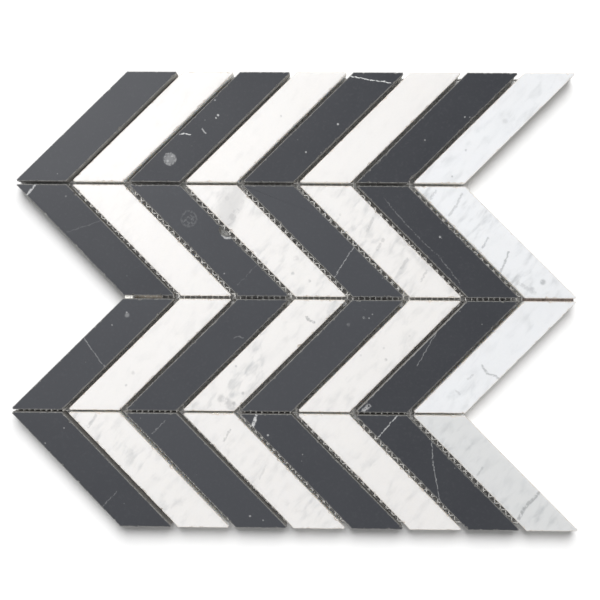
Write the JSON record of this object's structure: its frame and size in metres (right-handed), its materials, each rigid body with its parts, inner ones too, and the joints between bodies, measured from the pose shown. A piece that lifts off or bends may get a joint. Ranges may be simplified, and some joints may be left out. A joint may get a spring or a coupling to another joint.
{
  "type": "chevron wall tile",
  "caption": "Chevron mosaic wall tile: slanted strips of black and white marble in zigzag courses, mounted on a woven glass-fibre mesh with open joints",
  "frame": {"origin": "middle of the sheet's footprint, on the underside of the mesh", "axes": "+X along the courses to the right, +Y up the wall as the sheet is laid, +Z out of the wall, so that the sheet lies flat with its polished face up"},
  "size_m": [0.307, 0.2486, 0.0099],
  "materials": {
    "black_marble": "satin",
    "white_marble": "satin",
    "glass_fibre_mesh": "satin"
  },
  "bodies": {
    "root": {"black_strip_1_1": "black_marble", "white_strip_1_2": "white_marble", "black_strip_1_3": "black_marble", "white_strip_1_4": "white_marble", "black_strip_1_5": "black_marble", "white_strip_1_6": "white_marble", "black_strip_1_7": "black_marble", "white_strip_1_8": "white_marble", "black_strip_2_1": "black_marble", "white_strip_2_2": "white_marble", "black_strip_2_3": "black_marble", "white_strip_2_4": "white_marble", "black_strip_2_5": "black_marble", "white_strip_2_6": "white_marble", "black_strip_2_7": "black_marble", "white_strip_2_8": "white_marble", "black_strip_3_1": "black_marble", "white_strip_3_2": "white_marble", "black_strip_3_3": "black_marble", "white_strip_3_4": "white_marble", "black_strip_3_5": "black_marble", "white_strip_3_6": "white_marble", "black_strip_3_7": "black_marble", "white_strip_3_8": "white_marble", "black_strip_4_1": "black_marble", "white_strip_4_2": "white_marble", "black_strip_4_3": "black_marble", "white_strip_4_4": "white_marble", "black_strip_4_5": "black_marble", "white_strip_4_6": "white_marble", "black_strip_4_7": "black_marble", "white_strip_4_8": "white_marble", "mesh_warp": "glass_fibre_mesh", "mesh_weft": "glass_fibre_mesh"}
  },
  "joints": []
}
